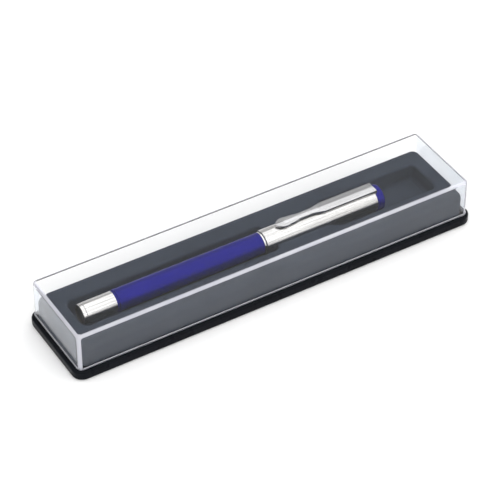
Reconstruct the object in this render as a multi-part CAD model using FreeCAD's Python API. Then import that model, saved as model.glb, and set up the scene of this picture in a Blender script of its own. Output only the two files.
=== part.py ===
import FreeCAD, Part
import math
import os

from FreeCAD import Vector

# A capped fountain pen lying in its presentation case.
#
# The case is a black base tray, a flocked vacuum-formed cradle and a clear five-sided lid. The pen has
# a blue barrel with a steel tail, a steel cap with a spring clip and a blue crown. Inside are a grip
# section, feed, nib and converter.
# Frame: millimetres, +X along the pen towards its crown, +Y to the back of the case, +Z up. The origin
# is the centre of the base tray's underside. Every pen part is modelled about the X axis and then
# raised to PEN_AXIS_Z.

# ---- driving dimensions of the case ----
BASE_LENGTH = 174.8
BASE_WIDTH = 39.4
BASE_HEIGHT = 4.2  # the flange that the lid stands on
BASE_CORNER = 4.4
BASE_TOP_ROUND = 1.0
BASE_BOTTOM_ROUND = 1.0
RECESS_DEPTH = 1.6  # hollow underside of the moulded tray
RECESS_MARGIN = 2.2
RIB_WIDTH = 1.4
GROOVE_DEPTH = 0.8  # the lid's rim drops this far into the tray
LID_CLEARANCE = 0.2
PLINTH_HEIGHT = 1.5
PLINTH_CLEARANCE = 0.3

LID_LENGTH = 171.2
LID_WIDTH = 36.4
LID_RISE = 16.45  # lid top above the flange
LID_WALL = 1.0
LID_CORNER = 1.9
LID_TOP_ROUND = 1.5
LID_INNER_CORNER = 0.5
LID_INNER_TOP_ROUND = 0.15
LID_BEAD = 0.3  # the bead round the lid's foot stands this proud
LID_BEAD_HEIGHT = 0.7
LID_BEAD_LIFT = 0.05

CRADLE_LENGTH = 168.8
CRADLE_WIDTH = 33.6
CRADLE_RISE = 9.7  # cradle top above the flange
CRADLE_CORNER = 3.3
CRADLE_TOP_ROUND = 2.9
CRADLE_SKIN = 0.8
TROUGH_LEFT = -77.6
TROUGH_RIGHT = 77.4
TROUGH_HALF_WIDTH = 7.6
POCKET_HALF_WIDTH = 8.3
TROUGH_CORNER = 2.2
TROUGH_FOOT_ROUND = 1.4
TROUGH_EDGE_ROUND = 1.0
SADDLE_LEFT = 6.6  # the trough narrows here to hold the cap
SADDLE_RIGHT = 29.4
SADDLE_FLARE = 4.8  # length over which the trough widens again
SADDLE_CLEARANCE = 0.1
TROUGH_FLOOR_DROP = 5.4  # the trough floor is this far below the pen axis

# ---- driving dimensions of the pen, along X ----
PEN_ABOVE_FLANGE = 8.2
PEN_AXIS_Z = BASE_HEIGHT + PEN_ABOVE_FLANGE
PEN_RADIUS = 4.45
TAIL_END = -75.4
TAIL_JOINT = -61.6
BARREL_MOUTH = 1.8
CAP_MOUTH = 2.65
CAP_END = 52.6
CROWN_END = 56.1
CAP_RADIUS = 4.95
CAP_WALL = 0.4
CAP_LIP_ROUND = 0.3
LINER_WALL = 0.42
LINER_MOUTH = 4.0
CROWN_RADIUS = 5.25

BARREL_BORE = 3.75
TAIL_RADIUS_JOINT = 4.3
TAIL_RADIUS_END = 4.2
TAIL_TENON = 3.3
TENON_LENGTH = 9.0
TENON_FIT = 0.03
SLEEVE_DEPTH = 10.5  # how far the tail sleeve's socket reaches behind the joint

THREAD_PITCH = 0.8
THREAD_CREST = 3.65
THREAD_ROOT = 3.4
RING_REAR = 1.85
RING_FRONT = 2.6

SECTION_FRONT = 31.0
SPIGOT_REAR = -13.0  # the converter plugs on to the spigot
SPIGOT_RADIUS = 1.7
THREAD_REAR = -8.0
THREAD_FRONT = 1.4
SHOULDER_FRONT = 3.9
SHOULDER_RADIUS = 4.35
SNAP_X = 7.2  # the ridge that clicks into the cap's liner
FIRST_GROOVE = 13.0
GROOVE_COUNT = 7
GROOVE_PITCH = 1.5
INK_CHANNEL_RADIUS = 0.8
SECTION_RADIUS_REAR = 3.95
SECTION_RADIUS_FRONT = 3.3
COLLAR_OUTER = 2.75
COLLAR_BORE = 2.35
COLLAR_REAR = 12.0
COLLAR_LIP = 0.8  # the collar stands this far out of the grip
FEED_RADIUS = 2.0
FEED_REAR = 13.1
FEED_NOSE_RADIUS = 0.6
FIN_COUNT = 8
FIN_PITCH = 0.75
FIN_GAP = 0.3
NIB_THICKNESS = 0.28
NIB_TIP = 43.5
NIB_REAR = 18.0
NIB_SPREAD_RADIUS = 3.3  # the sheet flattens to this radius outside the collar
NIB_SHOULDER_HALF = 2.6
NIB_TIP_HALF = 0.35
NIB_PELLET_RADIUS = 0.42
NIB_HOLE_RADIUS = 0.5
NIB_SLIT = 0.12
NIB_HOLE_X = 36.8

CONVERTER_REAR = -36.0  # where the clear tube ends inside the metal sleeve
CONVERTER_FRONT = -8.3
CONVERTER_RADIUS = 3.2
CONVERTER_BORE = 2.6
SLEEVE_REAR = -52.0
SLEEVE_FRONT = -32.0
SLEEVE_RADIUS = 3.5
SLEEVE_MOUTH = 2.5
KNOB_REAR = -59.6
KNOB_FRONT = -41.0
KNOB_STEM = 2.4
KNOB_FLANGE = 3.05  # held inside the sleeve
KNOB_RADIUS = 3.1
KNURLS = 16
KNURL_RADIUS = 0.28
ROD_REAR = -57.5
ROD_FRONT = -33.2
ROD_SCREW_FRONT = -38.0
ROD_RADIUS = 0.85
ROD_PITCH = 2.0  # two crests to a turn

CLIP_UNDERSIDE = 5.4  # height of the plate's underside above the pen's axis
CLIP_EDGE = 6.05
CLIP_RIDGE = 6.3
CLIP_BEAD_TOP = 6.5
CLIP_BEAD_RADIUS = 1.6
CLIP_TIP = 8.8
CLIP_PAD_X = 14.4  # the pad's widest point
CLIP_PAD_END = 18.6
CLIP_NECK_END = 25.0
CLIP_PLATE_START = 29.6
CLIP_BEND = 52.0  # the plate flexes here
CLIP_BEND_GAP = 0.05
CLIP_END_ROUND = 0.2
CLIP_PLATE_HALF = 2.65
CLIP_NECK_HALF = 1.5
CLIP_PAD_HALF = 2.2
CLIP_FOOT_RADIUS = 1.3
CLIP_FOOT_GAP = 0.1  # between the clip's foot and the cap
TAB_THICKNESS = 0.6
TAB_FOOT = -2.5
SCREW_RADIUS = 1.2

X_AXIS = Vector(1, 0, 0)
ORIGIN = Vector(0, 0, 0)
TINY = 1e-6


# ---- building blocks ----
def slab(length, width, corner, low, high, centre_x=0.0):
    """An upright block with rounded vertical corners, centred on y = 0."""
    box = Part.makeBox(length, width, high - low, Vector(centre_x - length / 2, -width / 2, low))
    upright = [e for e in box.Edges if abs(e.Vertexes[0].Z - e.Vertexes[1].Z) > TINY]
    return box.makeFillet(corner, upright)


def edges_at(shape, height):
    """The edges that lie flat at one height."""
    return [e for e in shape.Edges if all(abs(v.Z - height) < TINY for v in e.Vertexes)]


def round_level(shape, height, radius):
    return shape.makeFillet(radius, edges_at(shape, height))


def arc(middle, end):
    """An outline step that curves through a middle point to an end point."""
    return ("arc", middle, end)


def face_of(steps, lift):
    """A flat face from an outline of pairs and arcs, each pair placed in space by lift."""
    edges = []
    first = Vector(*lift(*steps[0]))
    here = first
    for step in steps[1:] + [steps[0]]:
        if step[0] == "arc":
            there = Vector(*lift(*step[2]))
            edges.append(Part.Arc(here, Vector(*lift(*step[1])), there).toShape())
        else:
            there = Vector(*lift(*step))
            if (there - here).Length > TINY:
                edges.append(Part.LineSegment(here, there).toShape())
        here = there
    return Part.Face(Part.Wire(edges))


def turned(steps):
    """A solid of revolution about the X axis from its (x, radius) outline."""
    return face_of(steps, lambda x, radius: (x, 0, radius)).revolve(ORIGIN, X_AXIS, 360)


def rod(radius, start, end):
    return Part.makeCylinder(radius, end - start, Vector(start, 0, 0), X_AXIS)


def tube(outer, bore, start, end):
    return rod(outer, start, end).cut(rod(bore, start, end))


def prism_y(steps, low, high):
    """An (x, z) outline carried along Y."""
    return face_of(steps, lambda x, z: (x, low, z)).extrude(Vector(0, high - low, 0))


def prism_z(steps, low, high):
    """An (x, y) outline carried along Z."""
    return face_of(steps, lambda x, y: (x, y, low)).extrude(Vector(0, 0, high - low))


def ridges(start, end, root, crest, pitch):
    """The (x, radius) points of a row of thread crests, from start to end."""
    points = []
    for k in range(int((end - start) / pitch)):
        x = start + k * pitch
        points += [(x, root), (x + 0.35 * pitch, crest), (x + 0.55 * pitch, crest), (x + 0.9 * pitch, root)]
    return points


# ---- case ----
def base_tray():
    tray = slab(BASE_LENGTH, BASE_WIDTH, BASE_CORNER, 0, BASE_HEIGHT)
    tray = round_level(tray, BASE_HEIGHT, BASE_TOP_ROUND)
    tray = round_level(tray, 0, BASE_BOTTOM_ROUND)
    inner_length = LID_LENGTH - 2 * LID_WALL - 2 * LID_CLEARANCE
    inner_width = LID_WIDTH - 2 * LID_WALL - 2 * LID_CLEARANCE
    groove_foot = BASE_HEIGHT - GROOVE_DEPTH
    groove = slab(
        LID_LENGTH + 2 * LID_CLEARANCE,
        LID_WIDTH + 2 * LID_CLEARANCE,
        LID_CORNER + LID_CLEARANCE,
        groove_foot,
        BASE_HEIGHT + 1,
    ).cut(slab(inner_length, inner_width, LID_INNER_CORNER, groove_foot - 1, BASE_HEIGHT + 2))
    margin = 2 * (CRADLE_SKIN + PLINTH_CLEARANCE)
    plinth = slab(
        CRADLE_LENGTH - margin,
        CRADLE_WIDTH - margin,
        CRADLE_CORNER - margin / 2,
        BASE_HEIGHT - 0.5,
        BASE_HEIGHT + PLINTH_HEIGHT,
    )
    recess_length = BASE_LENGTH - 2 * RECESS_MARGIN
    recess_width = BASE_WIDTH - 2 * RECESS_MARGIN
    recess = slab(recess_length, recess_width, BASE_CORNER - RECESS_MARGIN, 0, RECESS_DEPTH)
    rib_spacing = recess_length / 6
    for k in range(-2, 3):
        rib_corner = Vector(k * rib_spacing - RIB_WIDTH / 2, -recess_width / 2, 0)
        rib = Part.makeBox(RIB_WIDTH, recess_width, RECESS_DEPTH, rib_corner)
        recess = recess.cut(rib)
    spine_corner = Vector(-recess_length / 2, -RIB_WIDTH / 2, 0)
    spine = Part.makeBox(recess_length, RIB_WIDTH, RECESS_DEPTH, spine_corner)
    return tray.cut(groove).fuse(plinth).cut(recess.cut(spine)).removeSplitter()


def room(steps, floor, top, corner, foot_round):
    """A hollow with vertical walls on an (x, y) outline, rounded at its corners and along its floor."""
    hollow = prism_z(steps, floor, top)
    right = max(x for x, y in steps)
    upright = [e for e in hollow.Edges if e.BoundBox.ZLength > TINY and abs(e.BoundBox.XMax - right) < TINY]
    hollow = hollow.makeFillet(corner, upright)
    return round_level(hollow, floor, foot_round)


def trough(grow):
    """The hollow that the pen lies in, enlarged by grow all round, standing open at the top."""
    top = BASE_HEIGHT + CRADLE_RISE + 5
    floor = PEN_AXIS_Z - TROUGH_FLOOR_DROP - grow
    foot_round = TROUGH_FOOT_ROUND + grow
    saddle_radius = CAP_RADIUS + SADDLE_CLEARANCE + grow
    length = SADDLE_LEFT - TROUGH_LEFT + 2 * grow
    half_width = TROUGH_HALF_WIDTH + grow
    middle = (TROUGH_LEFT + SADDLE_LEFT) / 2
    left = slab(length, 2 * half_width, half_width - saddle_radius, floor, top, middle)
    left = round_level(left, floor, foot_round)
    flare_end = SADDLE_RIGHT + SADDLE_FLARE
    half_width = POCKET_HALF_WIDTH + grow
    pocket = room(
        [
            (SADDLE_RIGHT - grow, -saddle_radius),
            (flare_end - grow, -half_width),
            (TROUGH_RIGHT + grow, -half_width),
            (TROUGH_RIGHT + grow, half_width),
            (flare_end - grow, half_width),
            (SADDLE_RIGHT - grow, saddle_radius),
        ],
        floor,
        top,
        TROUGH_CORNER + grow,
        foot_round,
    )
    saddle = rod(saddle_radius, SADDLE_LEFT - TROUGH_CORNER, flare_end)
    saddle.translate(Vector(0, 0, PEN_AXIS_Z))
    slot = Part.makeBox(
        flare_end - SADDLE_LEFT + TROUGH_CORNER,
        2 * saddle_radius,
        top - PEN_AXIS_Z,
        Vector(SADDLE_LEFT - TROUGH_CORNER, -saddle_radius, PEN_AXIS_Z),
    )
    return left.fuse(pocket).fuse(saddle).fuse(slot)


def cradle_insert():
    low = BASE_HEIGHT
    high = BASE_HEIGHT + CRADLE_RISE
    block = slab(CRADLE_LENGTH, CRADLE_WIDTH, CRADLE_CORNER, low, high)
    block = round_level(block, high, CRADLE_TOP_ROUND)
    block = block.cut(trough(0)).removeSplitter()
    reach_x = 1 - TROUGH_LEFT
    reach_y = 1 + POCKET_HALF_WIDTH
    rim = []
    for edge in edges_at(block, high):
        middle = edge.CenterOfMass
        if abs(middle.x) < reach_x and abs(middle.y) < reach_y:
            rim.append(edge)
    block = block.makeFillet(TROUGH_EDGE_ROUND, rim)
    inside = slab(
        CRADLE_LENGTH - 2 * CRADLE_SKIN,
        CRADLE_WIDTH - 2 * CRADLE_SKIN,
        CRADLE_CORNER - CRADLE_SKIN,
        low,
        high - CRADLE_SKIN,
    )
    inside = round_level(inside, high - CRADLE_SKIN, CRADLE_TOP_ROUND - CRADLE_SKIN)
    return block.cut(inside.cut(trough(CRADLE_SKIN)))


def clear_lid():
    """An open-bottomed box, rounded outside and nearly sharp inside, with a small bead round its foot."""
    low = BASE_HEIGHT - GROOVE_DEPTH
    high = BASE_HEIGHT + LID_RISE
    outside = slab(LID_LENGTH, LID_WIDTH, LID_CORNER, low, high)
    outside = round_level(outside, high, LID_TOP_ROUND)
    bead_foot = BASE_HEIGHT + LID_BEAD_LIFT
    bead_top = bead_foot + LID_BEAD_HEIGHT
    bead = slab(
        LID_LENGTH + 2 * LID_BEAD,
        LID_WIDTH + 2 * LID_BEAD,
        LID_CORNER + LID_BEAD,
        bead_foot,
        bead_top,
    )
    bead = round_level(bead, bead_top, LID_BEAD - 0.01)
    inner_length = LID_LENGTH - 2 * LID_WALL
    inner_width = LID_WIDTH - 2 * LID_WALL
    inside = slab(inner_length, inner_width, LID_INNER_CORNER, low, high - LID_WALL)
    return outside.fuse(bead).cut(round_level(inside, high - LID_WALL, LID_INNER_TOP_ROUND))


# ---- barrel ----
def barrel_tube():
    shell = turned(
        [
            (TAIL_JOINT - TENON_LENGTH, 0),
            (TAIL_JOINT - TENON_LENGTH, TAIL_TENON),
            (TAIL_JOINT, TAIL_TENON),
            (TAIL_JOINT, PEN_RADIUS - 0.3),
            (TAIL_JOINT + 0.7, PEN_RADIUS - 0.2),
            (TAIL_JOINT + 0.75, PEN_RADIUS - 0.4),
            (TAIL_JOINT + 0.95, PEN_RADIUS - 0.4),
            arc((TAIL_JOINT + 1.0, PEN_RADIUS - 0.12), (TAIL_JOINT + 1.2, PEN_RADIUS)),
            (BARREL_MOUTH - 0.2, PEN_RADIUS),
            (BARREL_MOUTH, PEN_RADIUS - 0.2),
            (BARREL_MOUTH, 0),
        ]
    )
    return shell.cut(rod(BARREL_BORE, TAIL_JOINT + 1.2, BARREL_MOUTH)).cut(
        rod(TAIL_TENON - 1.0, TAIL_JOINT - 7.0, TAIL_JOINT + 1.2)
    )


def tail_sleeve():
    groove_x = TAIL_END + 1.3
    return turned(
        [
            (TAIL_JOINT - TENON_FIT, TAIL_TENON + TENON_FIT),
            (TAIL_JOINT - TENON_FIT, TAIL_RADIUS_JOINT),
            (groove_x + 0.3, TAIL_RADIUS_END + 0.05),
            (groove_x + 0.15, TAIL_RADIUS_END - 0.1),
            (groove_x, TAIL_RADIUS_END),
            (TAIL_END + 0.3, TAIL_RADIUS_END - 0.05),
            arc((TAIL_END + 0.08, TAIL_RADIUS_END - 0.13), (TAIL_END, TAIL_RADIUS_END - 0.35)),
            (TAIL_END, TAIL_RADIUS_END - 0.75),
            (TAIL_JOINT - SLEEVE_DEPTH, TAIL_RADIUS_END - 0.75),
            (TAIL_JOINT - SLEEVE_DEPTH, TAIL_TENON + TENON_FIT),
        ]
    )


def tail_plug():
    bore = TAIL_RADIUS_END - 0.75
    return turned(
        [
            (TAIL_JOINT - SLEEVE_DEPTH, 0),
            (TAIL_JOINT - SLEEVE_DEPTH, bore),
            (TAIL_END + 0.8, bore),
            (TAIL_END + 0.5, bore - 0.3),
            arc((TAIL_END + 0.85, bore * 0.45), (TAIL_END + 1.0, 0.6)),
            (TAIL_END + 1.0, 0),
        ]
    )


def centre_ring():
    return turned(
        [
            (RING_REAR, BARREL_BORE),
            (RING_REAR, PEN_RADIUS - 0.12),
            arc(((RING_REAR + RING_FRONT) / 2, PEN_RADIUS), (RING_FRONT, PEN_RADIUS - 0.12)),
            (RING_FRONT, BARREL_BORE),
        ]
    )


# ---- writing unit ----
def section_grip():
    taper_start = SHOULDER_FRONT + 1.1
    slope = (SECTION_RADIUS_REAR - SECTION_RADIUS_FRONT) / (SECTION_FRONT - taper_start)
    lip_end = (SECTION_FRONT, SECTION_RADIUS_FRONT - 0.1)
    grooves = []
    for k in range(GROOVE_COUNT):
        x = FIRST_GROOVE + GROOVE_PITCH * k
        radius = SECTION_RADIUS_REAR - slope * (x - taper_start)
        grooves += [(x, radius), arc((x + 0.35, radius - 0.16), (x + 0.7, radius - 0.02))]
    body = turned(
        [
            (SPIGOT_REAR, 0),
            (SPIGOT_REAR, SPIGOT_RADIUS - 0.2),
            (SPIGOT_REAR + 0.4, SPIGOT_RADIUS),
            (THREAD_REAR, SPIGOT_RADIUS),
            (THREAD_REAR, THREAD_ROOT),
            *ridges(THREAD_REAR + 0.4, THREAD_FRONT - 0.5, THREAD_ROOT, THREAD_CREST, THREAD_PITCH),
            (THREAD_FRONT, THREAD_ROOT),
            (RING_FRONT, THREAD_ROOT),
            (RING_FRONT, SHOULDER_RADIUS),
            (SHOULDER_FRONT, SHOULDER_RADIUS),
            (SHOULDER_FRONT + 0.4, SECTION_RADIUS_REAR),
            (SNAP_X, SECTION_RADIUS_REAR),
            arc((SNAP_X + 0.4, SECTION_RADIUS_REAR + 0.08), (SNAP_X + 0.8, SECTION_RADIUS_REAR)),
            *grooves,
            (SECTION_FRONT - 2.0, SECTION_RADIUS_FRONT),
            arc((SECTION_FRONT - 1.0, SECTION_RADIUS_FRONT + 0.28), lip_end),
            (SECTION_FRONT, 0),
        ]
    )
    collar_seat = rod(COLLAR_OUTER, COLLAR_REAR, SECTION_FRONT)
    return body.cut(collar_seat).cut(rod(INK_CHANNEL_RADIUS, SPIGOT_REAR, COLLAR_REAR))


def nib_collar():
    rear = COLLAR_REAR + 0.1
    front = SECTION_FRONT + COLLAR_LIP
    return turned(
        [
            (rear, 1.2),
            (rear, COLLAR_OUTER),
            (front - 0.3, COLLAR_OUTER),
            (front, COLLAR_OUTER - 0.2),
            (front, COLLAR_BORE),
            (rear + 0.9, COLLAR_BORE),
            (rear + 0.9, 1.2),
        ]
    )


def feed():
    nose_start = SECTION_FRONT + COLLAR_LIP
    nose_end = NIB_TIP - 1.9
    core = rod(FEED_RADIUS, FEED_REAR, nose_start)
    nose_length = nose_end - nose_start
    nose = Part.makeCone(FEED_RADIUS, FEED_NOSE_RADIUS, nose_length, Vector(nose_start, 0, 0), X_AXIS)
    body = core.fuse(nose)
    # the nib's seat: a flat that falls from the top of the core to the tip
    above = FEED_RADIUS + 0.4
    seat_end = nose_end + 0.1
    seat = [(nose_start, above), (nose_start, FEED_RADIUS - 0.05), (seat_end, 0.35), (seat_end, above)]
    body = body.cut(prism_y(seat, -3, 3))
    for k in range(FIN_COUNT):
        x = nose_start + 0.5 + FIN_PITCH * k
        fin_gap = Part.makeBox(FIN_GAP, 5, 1.6, Vector(x, -2.5, -2.2)).cut(rod(0.7, x - 1, x + 1))
        body = body.cut(fin_gap)
    channel_start = FEED_REAR + 0.9
    channel = Part.makeBox(nose_end - channel_start, 0.25, 1.0, Vector(channel_start, -0.125, 1.3))
    return body.cut(channel)


def nib():
    """A curved steel sheet over the feed: narrow inside the collar, shoulders outside it, then two tines."""
    outer = FEED_RADIUS + NIB_THICKNESS
    spread_start = SECTION_FRONT + 0.9
    tail = tube(outer, FEED_RADIUS + 0.02, NIB_REAR, spread_start + 0.1)
    tail = tail.common(Part.makeBox(60, 6, 3, Vector(0, -3, 0.9)))
    front = tube(NIB_SPREAD_RADIUS, NIB_SPREAD_RADIUS - NIB_THICKNESS + 0.02, spread_start, NIB_TIP)
    front.translate(Vector(0, 0, outer - NIB_SPREAD_RADIUS))
    shoulder_x = spread_start + 2.5
    waist_x = shoulder_x + 3.2
    plan = prism_z(
        [
            (spread_start, -1.85),
            arc((spread_start + 1.0, -2.35), (shoulder_x, -NIB_SHOULDER_HALF)),
            arc((waist_x, -1.55), (NIB_TIP, -NIB_TIP_HALF)),
            (NIB_TIP, NIB_TIP_HALF),
            arc((waist_x, 1.55), (shoulder_x, NIB_SHOULDER_HALF)),
            arc((spread_start + 1.0, 2.35), (spread_start, 1.85)),
        ],
        0,
        4,
    )
    pellet = Part.makeSphere(NIB_PELLET_RADIUS, Vector(NIB_TIP, 0, outer - NIB_THICKNESS / 2 - 0.1))
    blade = tail.fuse(front.common(plan)).fuse(pellet)
    slit = Part.makeBox(NIB_TIP - NIB_HOLE_X + 2, NIB_SLIT, 3, Vector(NIB_HOLE_X, -NIB_SLIT / 2, 1.0))
    hole = Part.makeCylinder(NIB_HOLE_RADIUS, 3, Vector(NIB_HOLE_X, 0, 1.0))
    return blade.cut(slit).cut(hole)


# ---- converter ----
def ink_tube():
    neck = SPIGOT_RADIUS + 0.05
    return turned(
        [
            (CONVERTER_REAR, CONVERTER_BORE),
            (CONVERTER_REAR, CONVERTER_RADIUS),
            (CONVERTER_FRONT - 0.7, CONVERTER_RADIUS),
            (CONVERTER_FRONT, CONVERTER_RADIUS - 0.7),
            (CONVERTER_FRONT, neck),
            (CONVERTER_FRONT - 1.3, neck),
            (CONVERTER_FRONT - 1.3, CONVERTER_BORE),
        ]
    )


def converter_sleeve():
    wall_start = SLEEVE_REAR + 0.8
    return turned(
        [
            (SLEEVE_REAR, SLEEVE_MOUTH),
            (SLEEVE_REAR, SLEEVE_RADIUS - 0.15),
            (SLEEVE_REAR + 0.15, SLEEVE_RADIUS),
            (SLEEVE_FRONT - 0.2, SLEEVE_RADIUS),
            (SLEEVE_FRONT, SLEEVE_RADIUS - 0.2),
            (SLEEVE_FRONT, CONVERTER_RADIUS),
            (wall_start, CONVERTER_RADIUS),
            (wall_start, SLEEVE_MOUTH),
        ]
    )


def converter_knob():
    """A knurled knob whose flange turns inside the sleeve and whose hollow stem drives the piston rod."""
    grip_front = SLEEVE_REAR - 0.2
    flange_rear = SLEEVE_REAR + 0.9
    flange_front = flange_rear + 1.3
    body = turned(
        [
            (KNOB_REAR, 0),
            (KNOB_REAR, KNOB_RADIUS - 0.5),
            (KNOB_REAR + 0.5, KNOB_RADIUS),
            (grip_front - 0.4, KNOB_RADIUS),
            (grip_front, KNOB_RADIUS - 0.4),
            (grip_front, KNOB_STEM),
            (flange_rear, KNOB_STEM),
            (flange_rear, KNOB_FLANGE),
            (flange_front, KNOB_FLANGE),
            (flange_front + 0.2, KNOB_STEM),
            (KNOB_FRONT, KNOB_STEM),
            (KNOB_FRONT, 0),
        ]
    )
    body = body.cut(rod(ROD_RADIUS + 0.1, KNOB_REAR + 1.0, KNOB_FRONT))
    knurl_circle = KNOB_RADIUS + 0.08
    for k in range(KNURLS):
        angle = 2 * math.pi * k / KNURLS
        flute = rod(KNURL_RADIUS, KNOB_REAR + 0.8, grip_front - 0.8)
        flute.translate(Vector(0, knurl_circle * math.cos(angle), knurl_circle * math.sin(angle)))
        body = body.cut(flute)
    return body


def piston_rod():
    root = ROD_RADIUS - 0.2
    return turned(
        [
            (ROD_REAR, 0),
            (ROD_REAR, root - 0.05),
            *ridges(ROD_REAR + 0.3, ROD_SCREW_FRONT, root, ROD_RADIUS, ROD_PITCH / 2),
            (ROD_SCREW_FRONT, root),
            (ROD_FRONT, root),
            (ROD_FRONT, 0),
        ]
    )


def piston_seal():
    """Two soft lips that wipe the ink tube, moulded on to the end of the rod."""
    lip = CONVERTER_BORE - 0.04
    waist = lip - 0.35
    socket = ROD_RADIUS - 0.2
    rear = ROD_FRONT - 2.4
    front = ROD_FRONT + 1.8
    return turned(
        [
            (rear, socket),
            (rear, waist),
            (rear + 0.3, lip),
            (rear + 0.8, lip),
            (rear + 1.2, waist),
            (front - 1.5, waist),
            (front - 1.1, lip),
            (front - 0.6, lip),
            (front - 0.2, waist),
            (front, 0),
            (ROD_FRONT, 0),
            (ROD_FRONT, socket),
        ]
    )


# ---- cap ----
def cap_tube():
    bore = CAP_RADIUS - CAP_WALL
    return turned(
        [
            (CAP_MOUTH, bore),
            (CAP_MOUTH, CAP_RADIUS - CAP_LIP_ROUND),
            arc((CAP_MOUTH + 0.09, CAP_RADIUS - 0.09), (CAP_MOUTH + CAP_LIP_ROUND, CAP_RADIUS)),
            (CAP_END, CAP_RADIUS),
            (CAP_END, SCREW_RADIUS),
            (CAP_END - 0.5, SCREW_RADIUS),
            (CAP_END - 0.5, bore),
        ]
    )


def cap_liner():
    outer = CAP_RADIUS - CAP_WALL - 0.03
    bore = outer - LINER_WALL
    back = CAP_END - 0.5
    return turned(
        [
            (LINER_MOUTH, bore + 0.2),
            (LINER_MOUTH, outer),
            (back, outer),
            (back, SCREW_RADIUS),
            (back - 1.2, SCREW_RADIUS),
            (back - 1.2, bore),
            (LINER_MOUTH + 0.6, bore),
        ]
    )


def cap_screw():
    head = CAP_END - 1.7
    body = turned(
        [
            (head - 1.0, 0),
            (head - 1.0, 1.9),
            (head - 0.8, 2.1),
            (head, 2.1),
            (head, SCREW_RADIUS),
            (CAP_END + 1.0, SCREW_RADIUS),
            (CAP_END + 1.2, SCREW_RADIUS - 0.2),
            (CAP_END + 1.2, 0),
        ]
    )
    slot = Part.makeBox(0.5, 5, 0.6, Vector(head - 1.0, -2.5, -0.3))
    return body.cut(slot)


def roof_bar(start, end, low):
    """A bar along X whose top is the clip's shallow roof shape, reaching down to low."""
    section = [
        (-CLIP_PLATE_HALF, low),
        (CLIP_PLATE_HALF, low),
        (CLIP_PLATE_HALF, CLIP_EDGE),
        (0, CLIP_RIDGE),
        (-CLIP_PLATE_HALF, CLIP_EDGE),
    ]
    return face_of(section, lambda y, z: (start, y, z)).extrude(Vector(end - start, 0, 0))


def crown():
    """The cap's end button, recessed for the clip's tab and bored for the screw."""
    button = turned(
        [
            (CAP_END, 0),
            (CAP_END, CROWN_RADIUS - 0.15),
            (CAP_END + 0.15, CROWN_RADIUS),
            (CROWN_END - 1.0, CROWN_RADIUS),
            arc((CROWN_END - 0.35, CROWN_RADIUS - 0.35), (CROWN_END - 0.1, CROWN_RADIUS - 1.0)),
            arc((CROWN_END - 0.03, CROWN_RADIUS / 2), (CROWN_END, 0.6)),
            (CROWN_END, 0),
        ]
    )
    recess = Part.makeBox(
        TAB_THICKNESS,
        2 * CLIP_PLATE_HALF,
        CROWN_RADIUS + 1 - TAB_FOOT,
        Vector(CAP_END, -CLIP_PLATE_HALF, TAB_FOOT),
    )
    return button.cut(recess).cut(rod(SCREW_RADIUS, CAP_END, CAP_END + 1.3))


def clip_tab():
    """The clip's fixed end: it bends down behind the cap's end and is held under the crown by the screw."""
    back = CAP_END + TAB_THICKNESS
    side = prism_y(
        [
            (CLIP_BEND + CLIP_BEND_GAP, CLIP_UNDERSIDE),
            (CAP_END, CLIP_UNDERSIDE),
            (CAP_END, TAB_FOOT),
            (back, TAB_FOOT),
            (back, CLIP_RIDGE - TAB_THICKNESS),
            arc((back - 0.18, CLIP_RIDGE - 0.18), (CAP_END, CLIP_RIDGE)),
            (CLIP_BEND + CLIP_BEND_GAP, CLIP_RIDGE),
        ],
        -CLIP_PLATE_HALF,
        CLIP_PLATE_HALF,
    )
    screw_hole = rod(SCREW_RADIUS, CLIP_BEND, back + 1)
    return side.common(roof_bar(CLIP_BEND, back + 1, TAB_FOOT - 1)).cut(screw_hole)


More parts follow.
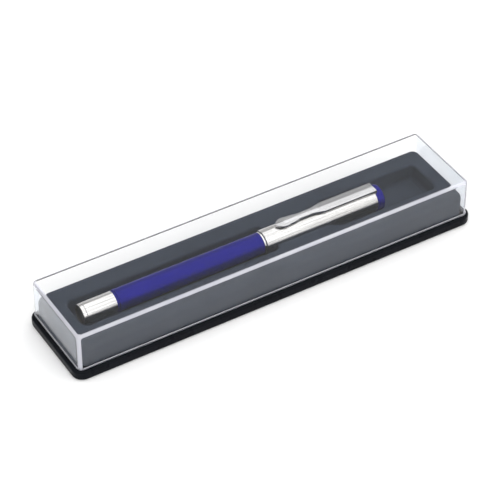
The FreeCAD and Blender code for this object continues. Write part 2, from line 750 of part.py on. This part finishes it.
def clip():
    """A spring plate with a shallow ridge, a waist, and a round-ended pad whose foot rests on the cap."""
    side = [
        (CLIP_BEND, CLIP_PLATE_HALF),
        (CLIP_PLATE_START, CLIP_PLATE_HALF),
        (CLIP_NECK_END, CLIP_NECK_HALF),
        (CLIP_PAD_END, CLIP_NECK_HALF),
        arc((CLIP_PAD_X + 1.9, CLIP_PAD_HALF - 0.12), (CLIP_PAD_X, CLIP_PAD_HALF)),
        arc((CLIP_TIP + 1.1, 1.5), (CLIP_TIP, 0)),
    ]
    other_side = [
        arc((CLIP_TIP + 1.1, -1.5), (CLIP_PAD_X, -CLIP_PAD_HALF)),
        arc((CLIP_PAD_X + 1.9, -CLIP_PAD_HALF + 0.12), (CLIP_PAD_END, -CLIP_NECK_HALF)),
        (CLIP_NECK_END, -CLIP_NECK_HALF),
        (CLIP_PLATE_START, -CLIP_PLATE_HALF),
        (CLIP_BEND, -CLIP_PLATE_HALF),
    ]
    plate = prism_z(side + other_side, CLIP_UNDERSIDE - 1, CLIP_RIDGE + 1)
    plate = plate.common(roof_bar(CLIP_TIP - 1, CLIP_BEND + 1, CLIP_UNDERSIDE))
    hinge_edge = [
        e for e in edges_at(plate, CLIP_UNDERSIDE) if all(abs(v.X - CLIP_BEND) < TINY for v in e.Vertexes)
    ]
    plate = plate.makeFillet(CLIP_END_ROUND, hinge_edge)
    bead_start = CLIP_PAD_X - 1.5
    bead_end = CLIP_NECK_END + 2.5
    bead_axis = CLIP_BEAD_TOP - CLIP_BEAD_RADIUS
    bead = rod(CLIP_BEAD_RADIUS, bead_start, bead_end)
    bead = bead.fuse(Part.makeSphere(CLIP_BEAD_RADIUS, Vector(bead_start, 0, 0)))
    bead = bead.fuse(Part.makeSphere(CLIP_BEAD_RADIUS, Vector(bead_end, 0, 0)))
    bead.translate(Vector(0, 0, bead_axis))
    above = Part.makeBox(60, 6, 3, Vector(0, -3, CLIP_UNDERSIDE + 0.2))
    foot_middle = Vector(CLIP_PAD_X, 0, CAP_RADIUS + CLIP_FOOT_GAP + CLIP_FOOT_RADIUS)
    foot = Part.makeSphere(CLIP_FOOT_RADIUS, foot_middle)
    foot = foot.common(Part.makeBox(4, 4, 2, Vector(CLIP_PAD_X - 2, -2, CLIP_UNDERSIDE + 0.2 - 2)))
    return plate.fuse(bead.common(above)).fuse(foot)


CASE_PARTS = [base_tray, cradle_insert, clear_lid]
PEN_PARTS = [
    barrel_tube,
    tail_sleeve,
    tail_plug,
    centre_ring,
    section_grip,
    nib_collar,
    feed,
    nib,
    ink_tube,
    converter_sleeve,
    converter_knob,
    piston_rod,
    piston_seal,
    cap_tube,
    cap_liner,
    cap_screw,
    crown,
    clip_tab,
    clip,
]


def main():
    os.makedirs("parts", exist_ok=True)
    for make in CASE_PARTS + PEN_PARTS:
        shape = make()
        if make in PEN_PARTS:
            shape.translate(Vector(0, 0, PEN_AXIS_Z))
        shape.exportStep(f"parts/{make.__name__}.step")
        print(make.__name__, len(shape.Solids), "solid(s)", shape.isValid(), round(shape.Volume, 1), "mm3")


main()
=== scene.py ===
"""A capped blue and steel pen in a flocked cradle, on a black base tray, under a clear lid."""
import math

import bpy
from mathutils import Matrix, Vector

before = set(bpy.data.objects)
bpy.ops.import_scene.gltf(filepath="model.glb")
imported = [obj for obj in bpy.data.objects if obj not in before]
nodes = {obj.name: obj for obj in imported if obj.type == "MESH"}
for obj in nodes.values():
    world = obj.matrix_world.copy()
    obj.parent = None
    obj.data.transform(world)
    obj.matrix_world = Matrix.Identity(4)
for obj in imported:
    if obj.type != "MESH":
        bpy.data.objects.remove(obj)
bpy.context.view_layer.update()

scene = bpy.context.scene

MM = 0.001

# The mix node's two colour inputs and its colour output, whose names its other data types share.
MIX_FIRST, MIX_SECOND, MIX_RESULT = 6, 7, 2

# The lid's clear plastic and two copies of it with painted light, chosen face by face from where
# the face is and where it looks.
WALL_SLOT, PAINTED_HIGHLIGHT_SLOT, PAINTED_REFLECTION_SLOT = range(3)
LID_FOOT_TOP = 5 * MM  # a face centred below this belongs to the foot
FRONT_FLAT = 0.97  # a face is flat when a component of its normal is above this
BACK_FLAT = 0.996
LOOKS_FORWARD = -0.1  # x or y of the normal is below this: the front or the left end
LOOKS_DOWN = -0.9  # z of the normal is below this
UPRIGHT = 0.3  # z of the normal is within this
BEAD_ROUND = 0.2  # z of the normal is above this on the upper side of the foot's bead

# The light tent. The panel's edge and core are cosines of the angle from its middle.
PANEL_DIRECTION = Vector((0.1, -0.35, 0.93)).normalized()
PANEL_EDGE = 0.42
PANEL_CORE = 0.6
PANEL_LIGHT = 1.6
WALL_LIGHT = 0.6

FLOOR_HALF = 12.0

# The camera: angles in degrees, lens and sensor in millimetres, lengths in metres.
CAMERA_AZIMUTH = -31.36
CAMERA_ELEVATION = 41.04
CAMERA_ROLL = 0.13
CAMERA_LENS = 165.6
CAMERA_SENSOR = 36
CAMERA_DISTANCE = 0.8767
CAMERA_FAR = 20
CAMERA_AIM = Vector((-0.00024, 0.00369, 0.00768))


# ---- material building blocks ----
class Shader:
    """A node material with one Principled shader, built up by small helpers."""

    def __init__(self, name):
        self.material = bpy.data.materials.new(name)
        self.material.use_nodes = True
        self.tree = self.material.node_tree
        self.principled = self.tree.nodes["Principled BSDF"]
        self.coordinates = self.add("ShaderNodeTexCoord").outputs["Object"]

    def add(self, kind, **values):
        node = self.tree.nodes.new(kind)
        for key, value in values.items():
            setattr(node, key, value)
        return node

    def link(self, source, target):
        self.tree.links.new(source, target)

    def set(self, **values):
        """Sets the Principled shader's own sockets, such as roughness=0.3."""
        for key, value in values.items():
            socket = self.principled.inputs[key.replace("_", " ").title().replace("Ior", "IOR")]
            socket.default_value = (*value, 1.0) if isinstance(value, tuple) else value

    def scaled(self, stretch):
        """The object's own coordinates, multiplied axis by axis."""
        mapping = self.add("ShaderNodeMapping")
        mapping.inputs["Scale"].default_value = stretch
        self.link(self.coordinates, mapping.inputs["Vector"])
        return mapping.outputs["Vector"]

    def noise(self, size, detail=3.0, stretch=(1, 1, 1), roughness=0.55):
        """Noise whose blobs are about size millimetres across, before stretching."""
        texture = self.add("ShaderNodeTexNoise")
        texture.inputs["Scale"].default_value = 1.0 / (size * MM)
        texture.inputs["Detail"].default_value = detail
        texture.inputs["Roughness"].default_value = roughness
        self.link(self.scaled(stretch), texture.inputs["Vector"])
        return texture.outputs["Fac"]

    def spread(self, value, low, high, start=0.3, end=0.7):
        """Maps value from start..end to low..high."""
        ramp = self.add("ShaderNodeMapRange")
        ramp.inputs["From Min"].default_value = start
        ramp.inputs["From Max"].default_value = end
        ramp.inputs["To Min"].default_value = low
        ramp.inputs["To Max"].default_value = high
        self.link(value, ramp.inputs["Value"])
        return ramp.outputs["Result"]

    def blend_colours(self, value, first, second, start=0.3, end=0.7):
        ramp = self.add("ShaderNodeValToRGB")
        ramp.color_ramp.elements[0].position = start
        ramp.color_ramp.elements[0].color = (*first, 1)
        ramp.color_ramp.elements[1].position = end
        ramp.color_ramp.elements[1].color = (*second, 1)
        self.link(value, ramp.inputs["Fac"])
        return ramp.outputs["Color"]

    def multiply_colours(self, first, second):
        mixer = self.add("ShaderNodeMix", data_type="RGBA", blend_type="MULTIPLY")
        mixer.inputs["Factor"].default_value = 1.0
        self.link(first, mixer.inputs[MIX_FIRST])
        self.link(second, mixer.inputs[MIX_SECOND])
        return mixer.outputs[MIX_RESULT]

    def colour(self, source):
        self.link(source, self.principled.inputs["Base Color"])

    def roughness(self, source):
        self.link(source, self.principled.inputs["Roughness"])

    def bump(self, height, depth, below=None):
        """Raises the surface by height times depth millimetres, over the bump below if given."""
        node = self.add("ShaderNodeBump")
        node.inputs["Strength"].default_value = 1.0
        node.inputs["Distance"].default_value = depth * MM
        self.link(height, node.inputs["Height"])
        if below is not None:
            self.link(below, node.inputs["Normal"])
        return node.outputs["Normal"]

    def normal(self, source):
        self.link(source, self.principled.inputs["Normal"])


# ---- materials ----
def black_gloss_plastic():
    s = Shader("black_gloss_plastic")
    s.set(ior=1.5, specular_ior_level=0.06)
    s.colour(s.blend_colours(s.noise(9), (0.0030, 0.0036, 0.0055), (0.0052, 0.0062, 0.0092)))
    s.roughness(s.spread(s.noise(3.5, 5), 0.24, 0.38))
    s.normal(s.bump(s.noise(0.3, 2), 0.002, s.bump(s.noise(8), 0.015)))
    return s.material


def grey_flock():
    """Short velvet nap: fine fibres, and broad patches where the nap lies the other way."""
    s = Shader("grey_flock")
    s.set(ior=1.4, roughness=0.95, specular_ior_level=0.1)
    s.set(sheen_weight=0.08, sheen_roughness=0.5, sheen_tint=(0.62, 0.68, 0.78))
    fibres = s.noise(0.16, 3, roughness=0.6)
    lay = s.noise(13, 2, stretch=(0.5, 1, 1))
    nap = s.blend_colours(fibres, (0.041, 0.052, 0.073), (0.057, 0.069, 0.095), 0.35, 0.65)
    patches = s.blend_colours(lay, (0.88, 0.89, 0.91), (1.06, 1.06, 1.06), 0.35, 0.65)
    s.colour(s.multiply_colours(nap, patches))
    s.normal(s.bump(fibres, 0.03, s.bump(s.noise(0.6, 3), 0.03)))
    return s.material


def clear_plastic():
    s = Shader("clear_plastic")
    s.set(ior=1.34, transmission_weight=1.0)
    s.colour(s.blend_colours(s.noise(40), (0.994, 0.995, 0.999), (0.999, 0.999, 1.0)))
    s.roughness(s.spread(s.noise(14, 3), 0.0, 0.003))
    s.normal(s.bump(s.noise(30, 1), 0.02))
    return s.material


def clear_plastic_painted_reflection():
    """The lid's two end walls: the same clear plastic with a painted pale reflection, so they
    look a little milky beside the long ones.
    """
    s = Shader("clear_plastic_painted_reflection")
    s.set(ior=1.44, transmission_weight=0.94)
    s.colour(s.blend_colours(s.noise(25), (0.87, 0.92, 0.99), (0.93, 0.96, 1.0)))
    s.roughness(s.spread(s.noise(14, 3), 0.0, 0.006))
    s.normal(s.bump(s.noise(30, 1), 0.02))
    return s.material


def clear_plastic_painted_highlight():
    """The lid's rounded edges gather light from the walls beside them; their pale colour is a
    painted highlight.
    """
    s = Shader("clear_plastic_painted_highlight")
    s.set(ior=1.46, transmission_weight=0.5)
    s.colour(s.blend_colours(s.noise(12), (0.80, 0.80, 0.90), (0.90, 0.90, 0.97)))
    s.roughness(s.spread(s.noise(4, 3), 0.08, 0.2))
    s.normal(s.bump(s.noise(2), 0.01))
    return s.material


def blue_plastic():
    s = Shader("blue_plastic")
    s.set(ior=1.5, specular_ior_level=0.1, metallic=0.4)
    s.colour(s.blend_colours(s.noise(9), (0.0040, 0.0030, 0.205), (0.0060, 0.0045, 0.230)))
    s.roughness(s.spread(s.noise(1.1, 4, stretch=(0.15, 1, 1)), 0.20, 0.27))
    s.normal(s.bump(s.noise(0.12, 2), 0.0004))
    return s.material


def brushed_steel(name="brushed_steel", light=(0.76, 0.75, 0.74), dark=(0.50, 0.49, 0.48)):
    s = Shader(name)
    s.set(metallic=1.0, anisotropic=0.4)
    streaks = s.noise(0.14, 4, stretch=(0.006, 1, 1), roughness=0.7)
    bands = s.noise(0.7, 4, stretch=(0.02, 1, 1), roughness=0.7)
    s.colour(s.blend_colours(bands, dark, light, 0.35, 0.6))
    s.roughness(s.spread(s.noise(0.25, 4, stretch=(0.012, 1, 1)), 0.10, 0.16))
    s.normal(s.bump(streaks, 0.0012))
    tangent = s.add("ShaderNodeTangent", direction_type="RADIAL", axis="X")
    s.link(tangent.outputs["Tangent"], s.principled.inputs["Tangent"])
    return s.material


def polished_steel():
    s = Shader("polished_steel")
    s.set(metallic=1.0)
    s.colour(s.blend_colours(s.noise(5), (0.66, 0.66, 0.67), (0.78, 0.78, 0.79)))
    s.roughness(s.spread(s.noise(0.8, 4), 0.06, 0.16))
    s.normal(s.bump(s.noise(0.25, 3), 0.0005))
    return s.material


def black_matt_plastic():
    s = Shader("black_matt_plastic")
    s.set(ior=1.48, specular_ior_level=0.3)
    s.colour(s.blend_colours(s.noise(2.5), (0.010, 0.010, 0.012), (0.017, 0.017, 0.019)))
    s.roughness(s.spread(s.noise(0.6, 4), 0.38, 0.52))
    s.normal(s.bump(s.noise(0.15, 2), 0.0015))
    return s.material


def grey_plastic():
    s = Shader("grey_plastic")
    s.set(ior=1.48)
    s.colour(s.blend_colours(s.noise(4), (0.16, 0.165, 0.18), (0.22, 0.225, 0.24)))
    s.roughness(s.spread(s.noise(1.2, 3), 0.35, 0.5))
    s.normal(s.bump(s.noise(0.2, 2), 0.001))
    return s.material


def converter_clear():
    s = Shader("converter_clear")
    s.set(ior=1.49, transmission_weight=1.0)
    s.colour(s.blend_colours(s.noise(8), (0.93, 0.95, 0.97), (0.98, 0.99, 1.0)))
    s.roughness(s.spread(s.noise(3), 0.02, 0.06))
    s.normal(s.bump(s.noise(2), 0.001))
    return s.material


def seal_rubber():
    s = Shader("seal_rubber")
    s.set(ior=1.52)
    s.colour(s.blend_colours(s.noise(1.5), (0.012, 0.012, 0.013), (0.022, 0.022, 0.024)))
    s.roughness(s.spread(s.noise(0.5, 3), 0.6, 0.8))
    s.normal(s.bump(s.noise(0.2, 2), 0.0015))
    return s.material


# ---- the CAD parts get their finishes ----
def dress(material, *names):
    for name in names:
        mesh = nodes[name].data
        mesh.materials.clear()
        mesh.materials.append(material)


def dress_lid(wall, edge, end):
    """Flat faces are clear, the two ends get a painted pale reflection, and faces that turn a
    corner get a painted highlight.
    """
    mesh = nodes["clear_lid"].data
    mesh.materials.clear()
    for material in (wall, edge, end):
        mesh.materials.append(material)
    for face in mesh.polygons:
        # Faces at the front and left need less to count as flat, so fewer of them get the
        # painted highlight.
        in_front = min(face.normal.x, face.normal.y) < LOOKS_FORWARD
        flat = max(abs(v) for v in face.normal) > (FRONT_FLAT if in_front else BACK_FLAT)
        upright_at_back = abs(face.normal.z) < UPRIGHT and face.center.y > 0
        in_foot = face.center.z < LID_FOOT_TOP
        bead_round = in_foot and BEAD_ROUND < face.normal.z < BACK_FLAT
        # The foot's bead and underside get the painted highlight, a bright line along the foot.
        if bead_round or (in_foot and face.normal.z < LOOKS_DOWN):
            face.material_index = PAINTED_HIGHLIGHT_SLOT
        # The end walls get the painted pale reflection.
        elif abs(face.normal.x) > BACK_FLAT:
            face.material_index = PAINTED_REFLECTION_SLOT
        elif flat or upright_at_back or in_foot:
            face.material_index = WALL_SLOT
        else:
            face.material_index = PAINTED_HIGHLIGHT_SLOT


clip_steel = brushed_steel("clip_steel", light=(0.62, 0.62, 0.63), dark=(0.53, 0.53, 0.54))

dress(black_gloss_plastic(), "base_tray")
dress(grey_flock(), "cradle_insert")
dress_lid(clear_plastic(), clear_plastic_painted_highlight(), clear_plastic_painted_reflection())
dress(blue_plastic(), "barrel_tube", "crown")
dress(brushed_steel(), "cap_tube", "tail_sleeve")
dress(clip_steel, "clip", "clip_tab")
dress(polished_steel(), "centre_ring", "nib", "converter_sleeve", "cap_screw")
dress(
    black_matt_plastic(),
    "tail_plug",
    "section_grip",
    "nib_collar",
    "feed",
    "converter_knob",
)
dress(grey_plastic(), "cap_liner", "piston_rod")
dress(converter_clear(), "ink_tube")
dress(seal_rubber(), "piston_seal")


# ---- floor, light and camera ----
def floor():
    mesh = bpy.data.meshes.new("floor")
    signs = ((-1, -1), (1, -1), (1, 1), (-1, 1))
    corners = [(x * FLOOR_HALF, y * FLOOR_HALF, 0) for x, y in signs]
    mesh.from_pydata(corners, [], [(0, 1, 2, 3)])
    plane = bpy.data.objects.new("floor", mesh)
    scene.collection.objects.link(plane)
    s = Shader("floor_paper")
    s.set(roughness=0.9, specular_ior_level=0.1)
    s.colour(s.blend_colours(s.noise(60), (0.96, 0.96, 0.96), (0.98, 0.98, 0.98)))
    mesh.materials.append(s.material)


def sky():
    """A soft light tent: a wide bright panel overhead, tipped to the front, and dimmer walls."""
    world = bpy.data.worlds.new("light_tent")
    scene.world = world
    world.use_nodes = True
    tree = world.node_tree
    background = tree.nodes["Background"]
    direction = tree.nodes.new("ShaderNodeTexCoord").outputs["Generated"]
    toward = tree.nodes.new("ShaderNodeVectorMath")
    toward.operation = "DOT_PRODUCT"
    tree.links.new(direction, toward.inputs[0])
    toward.inputs[1].default_value = PANEL_DIRECTION
    ramp = tree.nodes.new("ShaderNodeMapRange")
    ramp.interpolation_type = "SMOOTHSTEP"
    ramp.inputs["From Min"].default_value = PANEL_EDGE
    ramp.inputs["From Max"].default_value = PANEL_CORE
    ramp.inputs["To Min"].default_value = WALL_LIGHT
    ramp.inputs["To Max"].default_value = PANEL_LIGHT
    tree.links.new(toward.outputs["Value"], ramp.inputs["Value"])
    tree.links.new(ramp.outputs["Result"], background.inputs["Strength"])
    background.inputs["Color"].default_value = (1, 1, 1, 1)
    world.cycles.sampling_method = "NONE"


def camera():
    data = bpy.data.cameras.new("camera")
    data.sensor_width = CAMERA_SENSOR
    data.lens = CAMERA_LENS
    data.clip_end = CAMERA_FAR
    azimuth = math.radians(CAMERA_AZIMUTH)
    elevation = math.radians(CAMERA_ELEVATION)
    roll = math.radians(CAMERA_ROLL)
    back = Vector(
        (
            math.sin(azimuth) * math.cos(elevation),
            -math.cos(azimuth) * math.cos(elevation),
            math.sin(elevation),
        )
    )
    right = Vector((0, 0, 1)).cross(back).normalized()
    up = back.cross(right)
    turned_right = right * math.cos(roll) + up * math.sin(roll)
    turned_up = up * math.cos(roll) - right * math.sin(roll)
    rig = bpy.data.objects.new("camera", data)
    scene.collection.objects.link(rig)
    rotation = Matrix((turned_right, turned_up, back)).transposed().to_4x4()
    rig.matrix_world = Matrix.Translation(CAMERA_AIM + back * CAMERA_DISTANCE) @ rotation
    scene.camera = rig


floor()
sky()
camera()
scene.view_settings.view_transform = "Standard"
